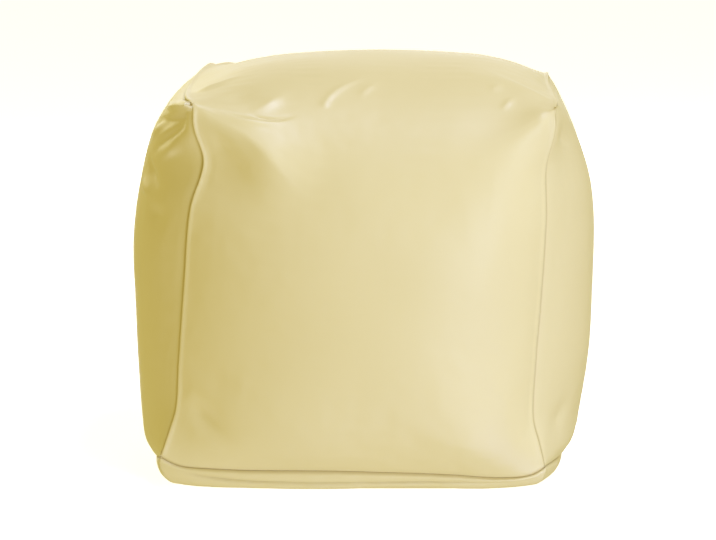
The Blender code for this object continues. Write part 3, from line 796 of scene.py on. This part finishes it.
# The wrap strip, its turned-in edge and the filling's hidden faces behind the other panels
def wrapPiece(lattice, points, inward, material):
    count, last = lattice["count"], lattice["last"]
    behind = inward * (pouf["cloth"] + pouf["gap"])
    layers = np.concatenate([points, points + behind, points + inward * pouf["hidden"]])
    faces = panelQuads(lattice, "strip").tolist()
    loop = chartLoop(lattice["vertex"]["strip"])
    after = np.roll(loop, -1)
    faces += np.stack([after, loop, loop + count, after + count], -1).tolist()
    lines = lattice["share"]["left"][0][:, 0]
    margin = pouf["hiddenMargin"]
    middle = np.arange(margin, last - margin + 1, pouf["hiddenStride"])
    middle[-1] = last - margin
    for name in ("left", "right", "base"):
        chart = lattice["vertex"][name]
        inner = chart[np.ix_(middle, middle)] + 2 * count
        turned = name in turnedPanels
        faces += chartQuads(inner, turned).tolist()
        loops = chartLoop(chart) + count, chartLoop(inner)
        ring = loopFaces(*loops, shareLoop(lines), shareLoop(lines[middle]))
        faces += [face[::-1] for face in ring] if turned else ring
    used, numbers = np.unique(np.concatenate([np.ravel(face) for face in faces]), return_inverse=True)
    renumbered, start = [], 0
    for face in faces:
        renumbered.append(numbers[start:start + len(face)].tolist())
        start += len(face)
    return newObject("poufWrap", layers[used], renumbered, material), used % count


# A side or base panel: its outer and inner layer, a hair back from the seams, and the cut edge
def panelPiece(name, title, lattice, points, inward, material):
    chart = lattice["vertex"][name]
    count = chart.size
    local = np.arange(count).reshape(chart.shape)
    last = lattice["last"]
    rows, columns = np.indices(chart.shape)
    innerRows, innerColumns = np.clip(rows, 1, last - 1), np.clip(columns, 1, last - 1)
    layers = []
    for depth in (0.0, pouf["cloth"]):
        layer = (points + inward * depth)[chart]
        way = layer[innerRows, innerColumns] - layer
        length = np.linalg.norm(way, axis=-1, keepdims=True)
        seamsHere = ((innerRows != rows).astype(int) + (innerColumns != columns))[..., None]
        layers.append(layer + way / np.maximum(length, 1e-9) * pouf["edgeShift"] * np.sqrt(seamsHere))
    turned = name in turnedPanels
    faces = chartQuads(local, turned).tolist() + chartQuads(local + count, not turned).tolist()
    loop = chartLoop(local)
    after = np.roll(loop, -1)
    walls = np.stack([after, loop, loop + count, after + count], -1)
    faces += (walls[:, ::-1] if turned else walls).tolist()
    piece = newObject(title, np.concatenate([layer.reshape(-1, 3) for layer in layers]), faces, material)
    return piece, np.concatenate([chart.ravel(), chart.ravel()])


# Shader helper: a wire holds a socket, and maths on wires adds the nodes for it
class Wire:
    def __init__(self, tree, socket=None):
        self.tree, self.socket = tree, socket

    def node(self, kind, settings, inputs, output=0):
        made = self.tree.nodes.new(kind)
        for name, value in settings.items():
            setattr(made, name, value)
        feed(made, inputs)
        return Wire(self.tree, made.outputs[output])

    def maths(self, operation, first, second):
        return self.node("ShaderNodeMath", {"operation": operation}, {0: first, 1: second})

    def __add__(self, other):
        return self.maths("ADD", self, other)

    def __radd__(self, other):
        return self.maths("ADD", other, self)

    def __mul__(self, other):
        return self.maths("MULTIPLY", self, other)

    def __rmul__(self, other):
        return self.maths("MULTIPLY", other, self)


# Sets or links a node's sockets
def feed(node, inputs):
    for name, value in inputs.items():
        if isinstance(value, Wire):
            value.tree.links.new(value.socket, node.inputs[name])
        else:
            node.inputs[name].default_value = value


leathercloth = {
    "colour": (0.775, 0.665, 0.372),
    "shade": (0.50, 0.38, 0.14),  # painted shade colour, in the seams' lines and the base's turn-under crease
    "cloudScale": 9.0,
    "paler": 1.035,  # how much paler the clouds are
    "roughness": 0.41,
    "cloudRoughness": 0.06,
    "coat": 0.15,
    "coatRoughness": 0.30,
    "pebbles": 850.0,  # in a metre
    "pebbleShare": -0.7,
    "pores": 1600.0,
    "poreShare": 0.3,
    "grainDepth": 0.00012,
    "grainStrength": 0.35,
}


def leatherclothMaterial(name, brightness):
    material = bpy.data.materials.new(name)
    material.use_nodes = True
    start = Wire(material.node_tree)
    place = start.node("ShaderNodeTexCoord", {}, {}, "Object")
    paintedShade = start.node("ShaderNodeAttribute", {"attribute_name": "paintedShade"}, {}, "Fac")

    def cloudy(scale, detail):
        values = {"Vector": place, "Scale": scale, "Detail": detail}
        return start.node("ShaderNodeTexNoise", {}, values, "Fac")

    def blend(share, first, second):
        return start.node("ShaderNodeMix", {"data_type": "RGBA"}, {0: share, 6: first, 7: second}, 2)

    def tint(key, factor):
        return tuple(factor * part for part in leathercloth[key]) + (1,)

    cream, dark = tint("colour", brightness), tint("shade", brightness)
    paler = tint("colour", brightness * leathercloth["paler"])
    clouds = cloudy(leathercloth["cloudScale"], 3.0)
    cells = {"Vector": place, "Scale": leathercloth["pebbles"], "Smoothness": 0.6}
    pebbles = start.node("ShaderNodeTexVoronoi", {"feature": "SMOOTH_F1"}, cells, "Distance")
    pores = cloudy(leathercloth["pores"], 2.0)
    grain = start.node("ShaderNodeBump", {}, {
        "Height": pebbles * leathercloth["pebbleShare"] + pores * leathercloth["poreShare"],
        "Strength": leathercloth["grainStrength"],
        "Distance": leathercloth["grainDepth"],
    })
    feed(material.node_tree.nodes["Principled BSDF"], {
        # Painted shade: a point attribute darkens the base colour toward the shade colour along the seams'
        # lines and the base's turn-under crease
        "Base Color": blend(paintedShade, blend(clouds, cream, paler), dark),
        "Roughness": clouds * leathercloth["cloudRoughness"] + leathercloth["roughness"],
        "Normal": grain,
        "Coat Weight": leathercloth["coat"],
        "Coat Roughness": leathercloth["coatRoughness"],
    })
    return material


# Stores each point's painted shade strength for the material
def setPaintedShade(piece, values):
    paintedShade = piece.data.attributes.new("paintedShade", "FLOAT", "POINT")
    paintedShade.data.foreach_set("value", values.astype(np.float32))


lattice, coverPoints, coverInward, coverPaintedShade = fineCover()
print("cover shaped:", lattice["count"], "points")

wrapCloth = leatherclothMaterial("wrapLeathercloth", 1.0)
sideCloth = leatherclothMaterial("sideLeathercloth", 0.98)
baseCloth = leatherclothMaterial("baseLeathercloth", 0.99)
wrap, wrapVertices = wrapPiece(lattice, coverPoints, coverInward, wrapCloth)
setPaintedShade(wrap, coverPaintedShade[wrapVertices])
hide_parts("filled_wrap")
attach(wrap, "root")
panels = {
    "left": ("poufSideLeft", "side_panel_left", "side_leathercloth", sideCloth),
    "right": ("poufSideRight", "side_panel_right", "side_leathercloth", sideCloth),
    "base": ("poufBase", "base_panel", "base_leathercloth", baseCloth),
}
for name, (title, node, slot, cloth) in panels.items():
    piece, vertices = panelPiece(name, title, lattice, coverPoints, coverInward, cloth)
    setPaintedShade(piece, coverPaintedShade[vertices])
    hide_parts(node)
    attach(piece, "root")
print("pieces made")

# Studio: the floor and the backdrop are only for the camera, and the soft light comes from all round
studio = {
    "ambient": (1.0, 0.857, 0.226),
    "ambientStrength": 0.572,
    "floorHalf": 14.0,
    "floorWhite": 0.80,
    "floorGlow": 0.80,
    "domeRadius": 16.0,
    "domeGlow": 1.05,
    "reach": 3.0,  # from the lights to the pouf
    "lightSize": 1.8,
    "aim": (0.0, 0.0, 0.2),
}
# Around runs from the front to the right, in degrees
lights = [
    dict(name="key", around=60, height=62, power=73, colour=(0.45, 0.55, 1.0)),
    dict(name="front", around=25, height=5, power=33.6, colour=(0.50, 0.625, 1.0)),
    dict(name="floorBounce", around=25, height=-35, power=26.6, colour=(0.65, 0.73, 1.0)),
    dict(name="rightBounce", around=50, height=-35, power=21, colour=(0.20, 0.29, 1.0)),
    dict(name="rim", around=180, height=20, power=6.5, colour=(0.67, 0.72, 1.0)),
    dict(name="leftRim", around=-150, height=20, power=12.5, colour=(1.0, 1.0, 0.80)),
    dict(name="leftBounce", around=-100, height=-35, power=16.3, colour=(0.755, 0.83, 1.0)),
    dict(name="back", around=180, height=-8, power=22, colour=(0.62, 0.72, 1.0)),
]


def whiteGlow(name, base, glow):
    material = bpy.data.materials.new(name)
    material.use_nodes = True
    feed(material.node_tree.nodes["Principled BSDF"], {
        "Base Color": (base, base, base, 1),
        "Roughness": 0.9,
        "Specular IOR Level": 0.0,
        "Emission Color": (1, 1, 1, 1),
        "Emission Strength": glow,
    })
    return material


# Seen by the camera alone: it neither lights nor shades the pouf
def onlySeen(thing):
    thing.visible_diffuse = thing.visible_glossy = False
    thing.visible_transmission = thing.visible_shadow = False


def buildBackground():
    half = studio["floorHalf"]
    corners = np.array([(-half, -half, 0), (half, -half, 0), (half, half, 0), (-half, half, 0)])
    white = whiteGlow("floorWhite", studio["floorWhite"], studio["floorGlow"])
    onlySeen(newObject("floor", corners, [[0, 1, 2, 3]], white))
    bpy.ops.mesh.primitive_uv_sphere_add(segments=48, ring_count=24, radius=studio["domeRadius"])
    dome = bpy.context.object
    dome.name = "backdrop"
    dome.data.materials.append(whiteGlow("backdropWhite", 0.0, studio["domeGlow"]))
    onlySeen(dome)
    world = bpy.data.worlds.new("studio")
    world.use_nodes = True
    ambient = {"Color": studio["ambient"] + (1,), "Strength": studio["ambientStrength"]}
    feed(world.node_tree.nodes["Background"], ambient)
    bpy.context.scene.world = world


def buildLights():
    for light in lights:
        data = bpy.data.lights.new(light["name"], "AREA")
        data.shape, data.size = "DISK", studio["lightSize"]
        data.energy, data.color = light["power"], light["colour"]
        lamp = bpy.data.objects.new(light["name"], data)
        around, height = math.radians(light["around"]), math.radians(light["height"])
        level = Vector((math.sin(around), -math.cos(around), 0))
        way = level * math.cos(height) + Vector((0, 0, math.sin(height)))
        lamp.location = Vector(studio["aim"]) + way * studio["reach"]
        lamp.rotation_euler = way.to_track_quat("Z", "Y").to_euler()
        bpy.context.scene.collection.objects.link(lamp)


view = {
    "distance": 3.0,
    "elevation": math.radians(8.5),
    "target": (-0.006, 0.0, 0.181),
    "lens": 153.19,
    "sensor": 36.0,
    "sees": 60.0,
}


def buildCamera():
    camera = bpy.data.objects.new("camera", bpy.data.cameras.new("camera"))
    camera.data.lens = view["lens"]
    camera.data.sensor_width = view["sensor"]
    camera.data.clip_end = view["sees"]
    away = Vector((0, -math.cos(view["elevation"]), math.sin(view["elevation"]))) * view["distance"]
    camera.location = Vector(view["target"]) + away
    camera.rotation_euler = (math.pi / 2 - view["elevation"], 0, 0)
    bpy.context.scene.collection.objects.link(camera)
    bpy.context.scene.camera = camera


buildBackground()
buildLights()
buildCamera()
bpy.context.scene.view_settings.view_transform = "Standard"
print("studio built")
